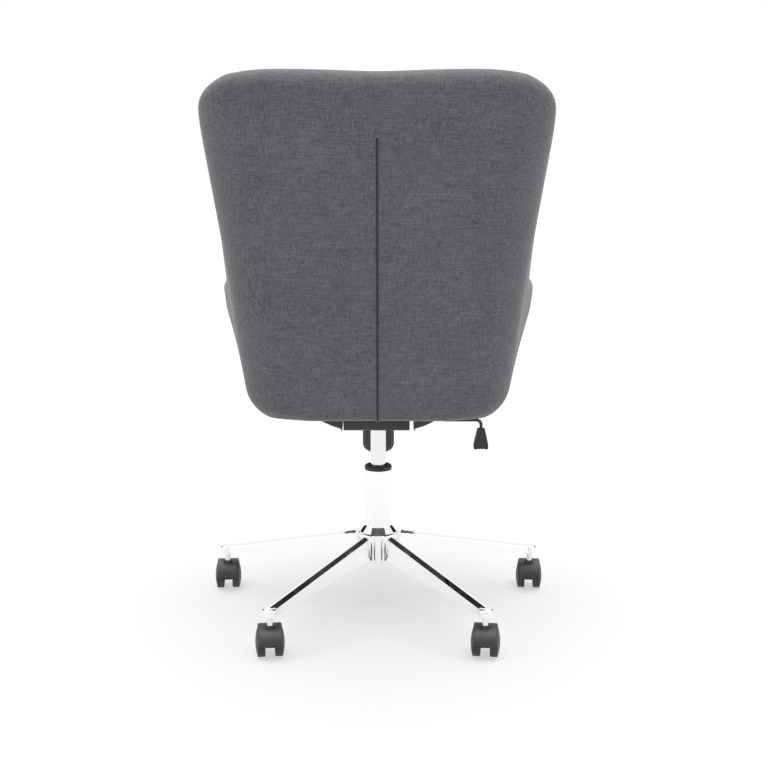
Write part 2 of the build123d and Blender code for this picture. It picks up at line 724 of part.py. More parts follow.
def top_corners(drop):
    """What stays of the tub seen from behind: full width below, rounded corners on the back."""
    half = BACK_TOP_HALF_WIDTH - drop
    low = front_profile([(-400, 380), (400, 380), (400, 780), (-400, 780)], 0, -400, 500)
    corner = TOP_CORNER - drop
    points = [(-half, 700), (half, 700), (half, TUB_TOP + 1 - drop), (-half, TUB_TOP + 1 - drop)]
    return low + front_profile(points, [0, 0, corner, corner], -400, 500)


def back_block(outer, inner):
    """The part of the tub between its two side pads, from the back's front to its rear."""
    faces = []
    for z in tub_levels():
        rim_roll = foot_and_rim_inset(z) if z > REAR_Z else 0.0
        _, half, _ = outline_at(z, ARM_PAD)
        _, _, y_out = outline_at(z, outer)
        _, _, y_in = outline_at(z, inner - 2 * rim_roll)
        points = [(-half, y_in, z), (half, y_in, z), (half, y_out, z), (-half, y_out, z)]
        faces.append(make_face(Polyline(*points, close=True)))
    return loft(faces, ruled=True)


def tub_parts():
    """The soft and structural layers of the tub, cut from one set of sections."""
    outside = trim_profile(0) & top_corners(0)
    inside = trim_profile(SHELL_DROP) & top_corners(SHELL_DROP)
    pad_room = outside & box(-400, 400, -400, 500, PAD_FOOT, 1000)
    shell_room = band(PAD_OUT - 1, SHELL_IN + 0.4) & (
        trim_profile(SHELL_DROP - 1) & top_corners(SHELL_DROP - 1)
    )
    sides = (band(PAD_OUT, ARM_PAD) & pad_room) - back_block(PAD_OUT - 5, BACK_PAD + 5)
    sides -= shell_room
    return {
        "outer_cover": (band(0, COVER) & outside) - zip_room(),
        "shell_frame": band(SHELL_OUT, SHELL_IN) & inside & box(-400, 400, -400, 500, BOARD_FOOT, 1000),
        "back_cushion": (back_block(PAD_OUT, BACK_PAD) & pad_room) - shell_room,
        "arm_cushion_left": one([s for s in sides.solids() if s.center().X > 0]),
        "arm_cushion_right": one([s for s in sides.solids() if s.center().X < 0]),
    }


def floor_plan(side_depth, rear_depth, z, front):
    """A trapezoid across the tub at a height, between depths from its outer faces."""
    front_x, side_rear_x, side_rear_y = outline_at(z, side_depth)
    _, _, rear_y = outline_at(z, rear_depth)
    slope = (front_x - side_rear_x) / (side_rear_y - ARM_FRONT)
    rear_x = side_rear_x + slope * (side_rear_y - rear_y)
    reach = side_rear_x + slope * (side_rear_y - front)
    points = [(-rear_x, rear_y, z), (-reach, front, z), (reach, front, z), (rear_x, rear_y, z)]
    return make_face(Polyline(*points, close=True))


def board_outline(z0, z1):
    plan = floor_plan(30, 30, TUB_FOOT, ARM_FRONT + 6)
    slab = extrude(Pos(0, 0, z0 - TUB_FOOT) * plan, amount=z1 - z0)
    return fillet(slab.edges().filter_by(Axis.Z), 30)


def seat_board():
    board = board_outline(BOARD_FOOT, BOARD_TOP)
    for x, y in fastener_places():
        board -= rod(4.5, BOARD_FOOT - 1, BOARD_TOP + 1, x, y)
        board -= rod(9.0, BOARD_TOP - 1.5, BOARD_TOP + 1, x, y)
    board -= rod(13, BOARD_FOOT - 1, BOARD_TOP + 1, 0, BOLT_Y)
    return board


def dust_cover():
    """Thin black cloth stapled under the tub, cut away where the plate is bolted on."""
    cloth = board_outline(TUB_FOOT, BOARD_FOOT)
    for x, y in fastener_places():
        cloth -= rod(8, 0, 500, x, y)
    cloth -= rod(13, 0, 500, 0, BOLT_Y)
    return cloth - rod(24, 0, 500)


def seat_cushion():
    """Thick cushion between the arms, its front edge rounded over the front of the board."""
    levels = [z for z in tub_levels() if PAD_FOOT <= z < CUSHION_TOP] + [CUSHION_TOP]
    sides, rear = ARM_PAD + CUSHION_GAP, BACK_PAD + CUSHION_GAP
    block = loft([floor_plan(sides, rear, z, CUSHION_FRONT) for z in levels], ruled=True)
    outline = [
        (CUSHION_FRONT, PAD_FOOT),
        (400, PAD_FOOT),
        (400, CUSHION_TOP),
        (CUSHION_FRONT, CUSHION_TOP - 8),
    ]
    return block & side_profile(outline, [12, 0, 0, 34], -400, 400)


def zip_outline(proud, deep, foot, top):
    """A thin upright strip along the centre of the rear face, in (y, z)."""
    levels = (foot, REAR_Z, top)
    faces = [outline_at(z, 0)[2] for z in levels]
    outer = [(y + proud, z) for y, z in zip(faces, levels)]
    inner = [(y - deep, z) for y, z in zip(faces, levels)]
    return outer + inner[::-1]


def zip_room():
    outline = zip_outline(5, ZIP_DEPTH + 0.2, ZIP_FOOT - 0.5, ZIP_TOP + 0.5)
    return side_profile(outline, 0, -ZIP_HALF - 0.2, ZIP_HALF + 0.2)


def back_zip():
    """Zip let into the centre of the rear face, from below the shoulders to the underside."""
    return side_profile(zip_outline(0, ZIP_DEPTH, ZIP_FOOT, ZIP_TOP), 0, -ZIP_HALF, ZIP_HALF)


# ================================================================ writing the parts
def main():
    parts = {
        "base_hub": base_hub(),
        "stem_sockets": stem_sockets(),
        "outer_tube": outer_tube(),
        "guide_sleeve": guide_sleeve(),
        "bearing_lower_race": bearing_lower_race(),
        "bearing_cage": bearing_cage(),
        "bearing_upper_race": bearing_upper_race(),
        "rubber_buffer": rubber_buffer(),
        "piston_rod": piston_rod(),
        "pressure_tube": pressure_tube(),
        "tube_end_guide": tube_end_guide(),
        "release_pin": release_pin(),
        "cone_socket": cone_socket(),
        "mechanism_body": mechanism_body(),
        "tilt_bushes": tilt_bushes(),
        "tension_spring": tension_spring(),
        "seat_plate": seat_plate(),
        "pivot_pin": pivot_pin(),
        "seat_bolts": seat_bolts(),
        "t_nuts": t_nuts(),
        "tension_bolt": tension_bolt(),
        "tension_knob": tension_knob(),
        "lever_bush": lever_bush(),
        "lever_rod": lever_rod(),
        "lever_paddle": lever_paddle(),
        "seat_board": seat_board(),
        "dust_cover": dust_cover(),
        "seat_cushion": seat_cushion(),
        "back_zip": back_zip(),
    }
    parts.update(tub_parts())
    spar = leg()
    housing = caster_housing()
    axle = caster_axle()
    wheel = caster_wheel()
    stem = caster_stem()
    for name in LEG_DIRECTIONS:
        parts[f"leg_{name}"] = at_leg(spar, name)
        parts[f"caster_{name}_housing"] = at_stem(housing, name)
        parts[f"caster_{name}_axle"] = at_stem(axle, name)
        parts[f"caster_{name}_wheel_left"] = at_stem(wheel, name)
        parts[f"caster_{name}_wheel_right"] = at_stem(mirror(wheel, Plane.YZ), name)
    parts["caster_stems"] = one([at_stem(stem, name) for name in LEG_DIRECTIONS])
    os.makedirs("parts", exist_ok=True)
    for name, part in parts.items():
        export_step(part, f"parts/{name}.step")


main()
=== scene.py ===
import json
import math

import bpy
import numpy as np
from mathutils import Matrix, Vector

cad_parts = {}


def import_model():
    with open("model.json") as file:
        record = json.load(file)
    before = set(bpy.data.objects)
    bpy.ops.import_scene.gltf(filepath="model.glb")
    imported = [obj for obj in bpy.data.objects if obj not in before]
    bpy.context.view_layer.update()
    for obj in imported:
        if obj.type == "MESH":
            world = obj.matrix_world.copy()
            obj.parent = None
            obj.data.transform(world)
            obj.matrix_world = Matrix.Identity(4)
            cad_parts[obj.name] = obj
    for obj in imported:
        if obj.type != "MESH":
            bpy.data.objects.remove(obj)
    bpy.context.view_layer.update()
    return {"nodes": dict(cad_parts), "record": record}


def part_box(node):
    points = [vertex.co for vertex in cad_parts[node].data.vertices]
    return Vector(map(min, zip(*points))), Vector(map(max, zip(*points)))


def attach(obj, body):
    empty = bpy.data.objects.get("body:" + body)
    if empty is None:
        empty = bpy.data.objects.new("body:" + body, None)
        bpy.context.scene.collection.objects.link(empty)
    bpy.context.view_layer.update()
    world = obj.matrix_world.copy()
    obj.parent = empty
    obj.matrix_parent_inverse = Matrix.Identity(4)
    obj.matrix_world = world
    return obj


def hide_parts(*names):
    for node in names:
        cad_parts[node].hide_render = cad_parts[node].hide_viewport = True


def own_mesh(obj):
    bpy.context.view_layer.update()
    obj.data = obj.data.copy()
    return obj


# Swivel office chair. Metres, in the CAD frame: the origin is on the floor on the column's axis, +Z is
# up and the sitter faces -Y.

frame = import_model()

# ---------------------------------------------------------------- the tub's driving sizes
FOOT_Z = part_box("outer_cover")[0].z
COVER_FOOT = FOOT_Z - 0.003    # the cloth hangs a little below the frame
TOP_Z = 0.9712                 # highest point of the upholstered back
REAR_FOOT_ROUND = 0.012        # roll of the rear face into the underside
SIDE_FOOT_ROUND = 0.055        # the same for the sides
LEAN = math.tan(math.radians(11.5))
REAR_Y = 0.216                 # outer rear face at REAR_Z
REAR_Z = 0.455
REAR_HALF_WIDTH = 0.218
REAR_SPREAD = 0.103            # widening of the rear corner per unit of height
SHOULDER_Z = 0.700             # from here to SHOULDER_TOP the back widens faster
SHOULDER_TOP = 0.885
SHOULDER_SPREAD = 0.038
SPLAY = 0.1336                 # outward run of the sides per unit of depth, at SPLAY_Z
SPLAY_Z = 0.438
SPLAY_RISE = 0.31
SPLAY_MOST = 0.165
ARM_FRONT = -0.240
CORNER = 0.050                 # plan radius of the outer rear corners
WALL = 0.060                   # thickness of the arms and of the tub's rolled edge
BACK = 0.098                   # outer rear face to the sitter's side of the back
SEAM = 0.036                   # rolled edge to the seam where the inner pads start
RECESS = 0.010                 # how far the wall steps back behind the pads
GAP = 0.0012                   # between neighbouring cushions
BOARD_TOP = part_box("seat_board")[1].z
BOARD_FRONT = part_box("seat_board")[0].y
CUSHION_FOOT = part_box("seat_cushion")[0].z
CUSHION_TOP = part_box("seat_cushion")[1].z
CUSHION_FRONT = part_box("seat_cushion")[0].y
PIPING = 0.0026                # radius of the piping
VOXEL = 0.005


# ---------------------------------------------------------------- mesh helpers
def mesh_object(name, vertices, faces):
    mesh = bpy.data.meshes.new(name)
    mesh.from_pydata([tuple(v) for v in vertices], [], [tuple(f) for f in faces])
    mesh.validate()
    mesh.update()
    mesh.polygons.foreach_set("use_smooth", [True] * len(mesh.polygons))
    made = bpy.data.objects.new(name, mesh)
    bpy.context.collection.objects.link(made)
    return made


def fillet(points, radii, steps=8):
    """An open 2D outline with its inner corners rounded; radii has one entry for each point."""
    rounded = [points[0]]
    for before, corner, after, radius in zip(points, points[1:], points[2:], radii[1:]):
        into = Vector(before) - Vector(corner)
        out = Vector(after) - Vector(corner)
        half = into.angle(out) / 2
        reach = min(radius / math.tan(half), 0.49 * into.length, 0.49 * out.length)
        start = Vector(corner) + into.normalized() * reach
        end = Vector(corner) + out.normalized() * reach
        for i in range(steps + 1):
            t = i / steps
            point = start * (1 - t) ** 2 + Vector(corner) * 2 * t * (1 - t) + end * t**2
            rounded.append((point.x, point.y))
    rounded.append(points[-1])
    return rounded


def surface_net(field, low, step):
    """Vertices and outward quads of the surface where a sampled field changes sign."""
    cells = tuple(n - 1 for n in field.shape)
    total = np.zeros(cells + (3,))
    count = np.zeros(cells)
    crossings = []
    for axis in range(3):
        first = [slice(None)] * 3
        second = [slice(None)] * 3
        first[axis] = slice(None, -1)
        second[axis] = slice(1, None)
        a, b = field[tuple(first)], field[tuple(second)]
        found = np.argwhere((a < 0) != (b < 0))
        start = a[tuple(found.T)]
        share = start / (start - b[tuple(found.T)])
        place = found.astype(float)
        place[:, axis] += share
        u, v = (axis + 1) % 3, (axis + 2) % 3
        ring = []
        for du, dv in ((-1, -1), (0, -1), (0, 0), (-1, 0)):
            cell = found.copy()
            cell[:, u] += du
            cell[:, v] += dv
            ring.append(cell)
            np.add.at(total, tuple(cell.T), place)
            np.add.at(count, tuple(cell.T), 1)
        crossings.append((ring, start < 0))
    used = np.argwhere(count > 0)
    index = np.full(cells, -1)
    index[tuple(used.T)] = np.arange(len(used))
    vertices = total[tuple(used.T)] / count[tuple(used.T)][:, None] * step + np.array(low)
    quads = []
    for ring, outward in crossings:
        corners = np.stack([index[tuple(c.T)] for c in ring], axis=1)
        corners[~outward] = corners[~outward][:, ::-1]
        quads.append(corners)
    return vertices, np.concatenate(quads)


def carve(name, field, low, high, step=VOXEL):
    """A closed mesh of the space where field(x, y, z) is negative, inside a box."""
    axes = [np.arange(a - 2 * step, b + 2 * step, step) for a, b in zip(low, high)]
    grid = np.meshgrid(*axes, indexing="ij")
    values = field(*grid)
    vertices, quads = surface_net(values, [a[0] for a in axes], step)
    return mesh_object(name, vertices, quads)


def inside_distance(px, pz, outline):
    """Distance from points to a closed outline, positive inside it."""
    nearest = np.full(px.shape, 1e9)
    inside = np.zeros(px.shape, bool)
    for (ax, az), (bx, bz) in zip(outline, outline[1:] + outline[:1]):
        dx, dz = bx - ax, bz - az
        length2 = dx * dx + dz * dz
        if length2 < 1e-14:
            continue
        t = np.clip(((px - ax) * dx + (pz - az) * dz) / length2, 0, 1)
        nearest = np.minimum(nearest, np.hypot(px - ax - t * dx, pz - az - t * dz))
        if dz != 0:
            crosses = ((az > pz) != (bz > pz)) & (px < ax + (pz - az) * dx / dz)
            inside ^= crosses
    return np.where(inside, nearest, -nearest)


def tube(name, points, radius, sides=10, closed=False):
    """A round rod swept along points, with flat ends unless it closes on itself."""
    points = [Vector(p) for p in points]
    count = len(points)
    vertices = []
    across = None
    for i, point in enumerate(points):
        after = points[(i + 1) % count] if closed else points[min(i + 1, count - 1)]
        before = points[i - 1] if closed or i else point
        along = (after - before).normalized()
        if across is None:
            across = along.orthogonal().normalized()
        across = (across - along * across.dot(along)).normalized()
        other = along.cross(across)
        for k in range(sides):
            turn = 2 * math.pi * k / sides
            vertices.append(point + (across * math.cos(turn) + other * math.sin(turn)) * radius)
    faces = []
    for i in range(count if closed else count - 1):
        here, there = i * sides, (i + 1) % count * sides
        for k in range(sides):
            right = (k + 1) % sides
            faces.append((here + k, here + right, there + right, there + k))
    if not closed:
        faces.append(tuple(range(sides))[::-1])
        faces.append(tuple(range((count - 1) * sides, count * sides)))
    return mesh_object(name, vertices, faces)


def joined(name, pieces):
    """One mesh object made of several, which are removed."""
    vertices, faces = [], []
    for piece in pieces:
        first = len(vertices)
        vertices += [v.co.copy() for v in piece.data.vertices]
        faces += [[first + i for i in f.vertices] for f in piece.data.polygons]
        bpy.data.objects.remove(piece)
    return mesh_object(name, vertices, faces)


def apply_modifiers(made):
    """Bakes an object's modifiers into its mesh."""
    evaluated = made.evaluated_get(bpy.context.evaluated_depsgraph_get())
    mesh = bpy.data.meshes.new_from_object(evaluated)
    made.modifiers.clear()
    made.data = mesh
    mesh.polygons.foreach_set("use_smooth", [True] * len(mesh.polygons))


def smooth(made, repeats=3, levels=0):
    """Evens out the small steps of a carved surface, then subdivides it."""
    modifier = made.modifiers.new("even", "SMOOTH")
    modifier.factor = 0.5
    modifier.iterations = repeats
    if levels:
        finer = made.modifiers.new("finer", "SUBSURF")
        finer.levels = levels
        finer.render_levels = levels
    apply_modifiers(made)


def places(mesh):
    found = np.zeros(len(mesh.vertices) * 3)
    mesh.vertices.foreach_get("co", found)
    return found.reshape(-1, 3)


def inflate(made, held, most, pressure=4.0):
    """Swells a closed form by cloth simulation; held points stay and no point moves more than most."""
    start = places(made.data)
    pins = made.vertex_groups.new(name="held")
    pins.add([int(i) for i in np.nonzero(held(*start.T))[0]], 1.0, "REPLACE")
    cloth = made.modifiers.new("cloth", "CLOTH")
    cloth.settings.vertex_group_mass = "held"
    cloth.settings.use_pressure = True
    cloth.settings.uniform_pressure_force = pressure
    cloth.settings.effector_weights.gravity = 0.0
    cloth.settings.tension_stiffness = 12.0
    cloth.settings.bending_stiffness = 0.4
    cloth.point_cache.frame_end = 20
    for number in range(1, 21):
        bpy.context.scene.frame_set(number)
    evaluated = made.evaluated_get(bpy.context.evaluated_depsgraph_get())
    moved = places(evaluated.data) - start
    length = np.maximum(np.linalg.norm(moved, axis=1), 1e-9)
    allowed = most * np.tanh(length / most)
    made.modifiers.clear()
    made.vertex_groups.clear()
    bpy.context.scene.frame_set(1)
    made.data.vertices.foreach_set("co", (start + moved * (allowed / length)[:, None]).ravel())
    made.data.update()


# ---------------------------------------------------------------- the tub's wall
def rear_y(z):
    return REAR_Y + (z - REAR_Z) * LEAN


def rear_x(z):
    shoulder = np.clip(z, SHOULDER_Z, SHOULDER_TOP) - SHOULDER_Z
    return REAR_HALF_WIDTH + (z - REAR_Z) * REAR_SPREAD + shoulder * SHOULDER_SPREAD


def splay(z):
    return np.minimum(SPLAY_MOST, SPLAY + SPLAY_RISE * (z - SPLAY_Z))


def path_marks(z):
    """Along the wall from the rear centre: where the corner starts and where it ends."""
    slope = splay(z)
    turn = np.arccos(slope / np.hypot(1, slope))
    start = rear_x(z) - CORNER * np.tan(turn / 2)
    return start, start + CORNER * turn


def wall_place(x, y, z):
    """How deep a point lies behind the tub's outer face, and how far along the wall it is."""
    slope = splay(z)
    slant = np.hypot(1, slope)
    from_rear = rear_y(z) - y
    from_side = (rear_x(z) + slope * from_rear - np.abs(x)) / slant
    a, b = CORNER - from_rear, CORNER - from_side
    corner = (a > 0) & (b > 0)
    depth = np.where(corner, CORNER - np.hypot(a, b), np.minimum(from_rear, from_side))
    start, end = path_marks(z)
    straight = np.maximum(rear_x(z) + slope * from_rear - CORNER * slant, 1e-3)
    along_rear = np.abs(x) * start / straight
    along_corner = start + (end - start) * np.arctan2(b, a) / (math.pi / 2)
    along_side = end + (from_rear - CORNER) * slant
    along = np.where(from_side < from_rear, along_side, along_rear)
    return depth, np.where(corner, along_corner, along)


def wall_point(along, z, depth, side=1):
    """The point at a distance along the wall, a height and a depth behind the outer face."""
    slope = float(splay(z))
    slant = math.hypot(1, slope)
    start, end = (float(v) for v in path_marks(z))
    if along <= start:
        from_rear = depth
        x = along * (rear_x(z) + slope * depth - CORNER * slant) / start
        return Vector((side * x, rear_y(z) - depth, z))
    if along <= end:
        turn = (along - start) / (end - start) * math.pi / 2
        radius = max(CORNER - depth, 0)
        centre = max(CORNER, depth)
        from_rear = centre - radius * math.cos(turn)
        from_side = centre - radius * math.sin(turn)
    else:
        from_rear = CORNER + (along - end) / slant
        from_side = depth
    x = rear_x(z) + slope * from_rear - from_side * slant
    return Vector((side * x, rear_y(z) - from_rear, z))


def side_along(y, z):
    """How far along the wall a place on the side at y is."""
    slant = math.hypot(1, float(splay(z)))
    return float(path_marks(z)[1]) + (rear_y(z) - CORNER - y) * slant


DIP = 0.0035                   # the top edge is this much lower at its centre seam
DIP_WIDTH = 0.075
CORNER_START = 0.160           # along the top edge, where its rounded corner starts
CORNER_FOOT = 0.865            # height where that corner runs into the wing
WING_Y = 0.177                 # front of the wing at that height


def edge_outline():
    """The rolled edge of the tub, flattened: distance along the wall against height."""
    steps = 24
    outline = []
    for i in range(-steps, steps + 1):
        along = CORNER_START * i / steps
        outline.append((along, TOP_Z - DIP * math.exp(-((along / DIP_WIDTH) ** 2))))
    reach = side_along(WING_Y, CORNER_FOOT) - CORNER_START
    for i in range(1, steps + 1):
        turn = math.pi / 2 * i / steps
        height = (TOP_Z - CORNER_FOOT) * math.cos(turn) ** 1.1 if i < steps else 0.0
        outline.append((CORNER_START + reach * math.sin(turn), CORNER_FOOT + height))
    arm = [
        outline[-1],
        (side_along(0.140, 0.716), 0.716),
        (side_along(0.062, 0.630), 0.630),
        (side_along(-0.226, 0.606), 0.606),
        (side_along(-0.236, 0.480), 0.480),
        (side_along(ARM_FRONT, FOOT_Z), FOOT_Z),
        (side_along(ARM_FRONT, FOOT_Z), FOOT_Z - 0.2),
    ]
    outline += fillet(arm, [0, 0.09, 0.08, 0.05, 0.05, 0, 0])[1:]
    outline.append((-0.5, FOOT_Z - 0.2))
    outline.append((-0.5, outline[0][1]))
    return outline


EDGE = edge_outline()


def from_edge(along, z, where):
    """Distance in from the rolled edge, worked out only where it matters."""
    inward = np.full(along.shape, 1.0)
    inward[where] = inside_distance(along[where], z[where], EDGE)
    return inward


def foot_roll(z, along):
    """How far the outer face has rolled inwards, near the underside."""
    start, end = path_marks(z)
    share = np.clip((along - start + CORNER) / (end - start + CORNER), 0, 1)
    radius = REAR_FOOT_ROUND + (SIDE_FOOT_ROUND - REAR_FOOT_ROUND) * share
    below = np.clip(COVER_FOOT + radius - z, 0, radius)
    return radius - np.sqrt(radius**2 - below**2)


def rounded(radius, *inside):
    """How far points lie inside several faces at once, with the edges between them rounded."""
    least = np.minimum.reduce(inside)
    over = [np.maximum(radius - d, 0) for d in inside]
    return np.where(least > radius, least, radius - np.sqrt(sum(d * d for d in over)))


def wall_faces(x, y, z):
    """How far points lie in from the flat rear face and from the flat side face."""
    slope = splay(z)
    from_rear = rear_y(z) - y
    return from_rear, (rear_x(z) + slope * from_rear - np.abs(x)) / np.hypot(1, slope)


# ---------------------------------------------------------------- upholstery
def tub_cover_field(x, y, z):
    """The wall with its full round edge, rolled under at the foot and stepped back behind the pads."""
    depth, along = wall_place(x, y, z)
    radius = WALL / 2
    near = (depth > -0.02) & (depth < WALL + 0.03)
    inward = from_edge(along, z, near)
    tuck = 0.006 * np.clip((BOARD_TOP - z) / 0.004, 0, 1)
    across = np.where(depth > radius, (depth - radius) * radius / (radius + tuck), depth - radius)
    wall = np.hypot(np.maximum(radius - inward, 0), across) - radius
    wall = np.where(inward < -radius, -inward, wall)
    panel = np.clip((inward - SEAM) / 0.006, 0, 1)
    above_board = np.clip((z - BOARD_TOP - 0.004) / 0.004, 0, 1)
    wall = np.maximum(wall, depth - WALL + RECESS * panel * above_board - tuck)
    wall = np.maximum(wall, foot_roll(z, along) - depth)
    return np.maximum(wall, COVER_FOOT - z)


def tub_cover():
    high = (0.33, 0.34, TOP_Z)
    made = carve("tub_cover", tub_cover_field, (-0.33, ARM_FRONT - 0.02, COVER_FOOT), high)
    smooth(made, 3)
    return made


def arm_pad(name, side):
    """Thin panel on the sitter's side of an arm and its wing, crowned between its seams."""
    def field(x, y, z):
        depth, along = wall_place(x, y, z)
        from_rear, from_side = wall_faces(x, y, z)
        near = (from_side > 0.03) & (from_side < 0.09) & (side * x > 0.08)
        inward = from_edge(along, z, near)
        crown = 0.0035 * np.clip((inward - SEAM) / 0.05, 0, 1) ** 0.5
        inside = rounded(
            0.004,
            from_side - (WALL - RECESS) - 0.0004,
            WALL - 0.0012 + crown - from_side,
            inward - SEAM - 0.001,
            z - CUSHION_FOOT,
            from_rear - (WALL - RECESS) - 0.0004,
            side * x - 0.08,
        )
        return -inside

    low = [0.10, ARM_FRONT, CUSHION_FOOT]
    high = [0.31, 0.29, 0.95]
    if side < 0:
        low[0], high[0] = -0.31, -0.10
    made = carve(name, field, low, high, VOXEL * 0.6)
    smooth(made, 2)
    return made


CHANNEL = 0.012                # depth of the sewn channel down the middle of the back pad


def back_pad_sides(x, y, z):
    """How far points lie inside each face of the back pad before it swells."""
    from_rear, from_side = wall_faces(x, y, z)
    start = path_marks(z)[0]
    along = np.minimum(np.abs(x), start)
    top = from_edge(along, z, (np.abs(x) < 0.28) & (z > 0.70))
    channel = CHANNEL * np.exp(-((x / 0.010) ** 2)) * np.clip((z - CUSHION_TOP) / 0.03, 0, 1)
    front = BACK - 0.010 - channel - from_rear
    behind = from_rear - (WALL - RECESS) - 0.0006
    return behind, front, from_side - WALL - 0.0032, top - SEAM - 0.002, z - CUSHION_FOOT


def back_pad():
    """Thick pad of the back, swollen on both sides of a channel sewn down its middle."""
    def field(x, y, z):
        behind, front, side, top, foot = back_pad_sides(x, y, z)
        return -rounded(0.004, behind, foot, rounded(0.022, front, side, top))

    def held(x, y, z):
        behind, front, side, top, foot = back_pad_sides(x, y, z)
        edge = (behind < 0.004) | (side < 0.004) | (top < 0.004) | (z < CUSHION_TOP + 0.012)
        return edge | (np.abs(x) < 0.004)

    made = carve("back_pad", field, (-0.27, 0.06, CUSHION_FOOT), (0.27, 0.30, 0.95))
    inflate(made, held, 0.016)
    smooth(made, 3, 1)
    return made


CUSHION_START = 0.010          # the seat cushion's top starts this far down and swells up
CUSHION_CLEAR = 0.0018         # between its sides and the arms
CUSHION_DROP = 0.008           # its top falls this much from CUSHION_REAR over CUSHION_RUN forwards
CUSHION_REAR = 0.125
CUSHION_RUN = 0.40


def cushion_sides(x, y, z):
    """How far points lie inside each face of the seat cushion before it swells."""
    from_rear, from_side = wall_faces(x, y, z)
    drop = CUSHION_DROP * np.clip((CUSHION_REAR - y) / CUSHION_RUN, 0, 1)
    top = CUSHION_TOP - CUSHION_START - drop - z
    side = from_side - WALL - CUSHION_CLEAR
    return side, from_rear - BACK - GAP, y - CUSHION_FRONT, top, z - CUSHION_FOOT


def seat_cushion():
    """Box cushion with a crowned top and a front that rolls down over the rail."""
    def field(x, y, z):
        side, rear, front, top, foot = cushion_sides(x, y, z)
        nose = rounded(0.034, front, top)
        return -rounded(0.012, nose, side, rear, rounded(0.010, foot, front))

    def held(x, y, z):
        side, rear, front, top, foot = cushion_sides(x, y, z)
        return (side < 0.003) | (rear < 0.003) | (foot < 0.003)

    made = carve("seat_cushion_cover", field, (-0.26, CUSHION_FRONT, CUSHION_FOOT), (0.26, 0.14, 0.51))
    inflate(made, held, 0.014)
    smooth(made, 3, 1)
    return made


def front_rail():
    """Fabric wrapped over the front edge of the seat board, between the arms."""
    def field(x, y, z):
        from_rear, from_side = wall_faces(x, y, z)
        inside = rounded(
            0.006,
            from_side - WALL + 0.004,
            y - BOARD_FRONT + 0.014,
            BOARD_FRONT - 0.0006 - y,
            z - FOOT_Z,
            CUSHION_FOOT - 0.0006 - z,
        )
        return -inside

    low = (-0.26, BOARD_FRONT - 0.014, FOOT_Z)
    made = carve("front_rail", field, low, (0.26, BOARD_FRONT, CUSHION_FOOT), 0.002)
    smooth(made, 2)
    return made


def seam_path(inset, depth):
    """Points along the tub's edge seam, from one arm's front over the back to the other's."""
    right = []
    for before, here, after in zip(EDGE, EDGE[1:], EDGE[2:]):
        if here[0] < 0 or here[1] < FOOT_Z - 0.1:
            continue
        way = Vector(after) - Vector(before)
        if way.length < 1e-9:
            continue
        way.normalize()
        along, z = here[0] + way.y * inset, here[1] - way.x * inset
        if along < 0 or z < CUSHION_FOOT + 0.002:
            continue
        distance = inside_distance(np.array([along]), np.array([z]), EDGE)[0]
        if distance > inset - 0.0008:
            right.append((along, z))
    path = [wall_point(a, z, depth, -1) for a, z in right[::-1]]
    path += [wall_point(a, z, depth, 1) for a, z in right]
    return path


def respaced(points, spacing):
    """The same path with its points evenly spaced."""
    points = [Vector(p) for p in points]
    lengths = [0.0]
    for a, b in zip(points, points[1:]):
        lengths.append(lengths[-1] + (b - a).length)
    count = max(2, int(lengths[-1] / spacing))
    marks = np.linspace(0, lengths[-1], count)
    axes = [np.interp(marks, lengths, [p[k] for p in points]) for k in range(3)]
    return [Vector(p) for p in zip(*axes)]


def cushion_seam():
    """Closed path round the top edge of the seat cushion."""
    inset = 0.0035
    corners = []
    for y in (CUSHION_FRONT + 0.010, 0.118):
        drop = CUSHION_DROP * (CUSHION_REAR - y) / CUSHION_RUN
        z = CUSHION_TOP - CUSHION_START - drop - (0.010 if y < 0 else inset)
        slope = float(splay(z))
        from_rear = rear_y(z) - y
        side = WALL + CUSHION_CLEAR + inset
        reach = rear_x(z) + slope * from_rear - side * math.hypot(1, slope)
        corners.append((reach, y, z))
    (front_x, front_y, front_z), (back_x, back_y, back_z) = corners
    path = [(0, front_y), (front_x, front_y), (back_x, back_y), (0, back_y)]
    half = fillet(path, [0, 0.030, 0.020, 0])
    loop = half + [(-x, y) for x, y in half[-2:0:-1]]
    tilt = (back_z - front_z) / (back_y - front_y)
    return [(x, y, front_z + (y - front_y) * tilt) for x, y in loop]


def rear_line(high):
    """Points up the centre of the rear face from the underside, and the way out of it at each."""
    points = []
    for i in range(9):
        turn = math.radians(10 + 80 * i / 9)
        z = COVER_FOOT + REAR_FOOT_ROUND * (1 - math.cos(turn))
        y = rear_y(z) - REAR_FOOT_ROUND * (1 - math.sin(turn))
        points.append((Vector((0, y, z)), Vector((0, math.sin(turn), -math.cos(turn)))))
    out = Vector((0, 1, -LEAN)).normalized()
    foot = COVER_FOOT + REAR_FOOT_ROUND
    for i in range(61):
        z = foot + (high - foot) * i / 60
        points.append((Vector((0, rear_y(z), z)), out))
    return points


def rear_strip(name, half_width, high, proud, deep):
    """A strip down the centre of the rear face and round its foot."""
    vertices, faces = [], []
    line = rear_line(high)
    steps = len(line) - 1
    for point, out in line:
        for side, rise in ((-1, proud), (1, proud), (1, -deep), (-1, -deep)):
            vertices.append(point + out * rise + Vector((side * half_width, 0, 0)))
    for i in range(steps):
        here, there = 4 * i, 4 * i + 4
        for k in range(4):
            faces.append((here + k, there + k, there + (k + 1) % 4, here + (k + 1) % 4))
    faces.append((0, 1, 2, 3))
    faces.append((4 * steps + 3, 4 * steps + 2, 4 * steps + 1, 4 * steps))
    return mesh_object(name, vertices, faces)


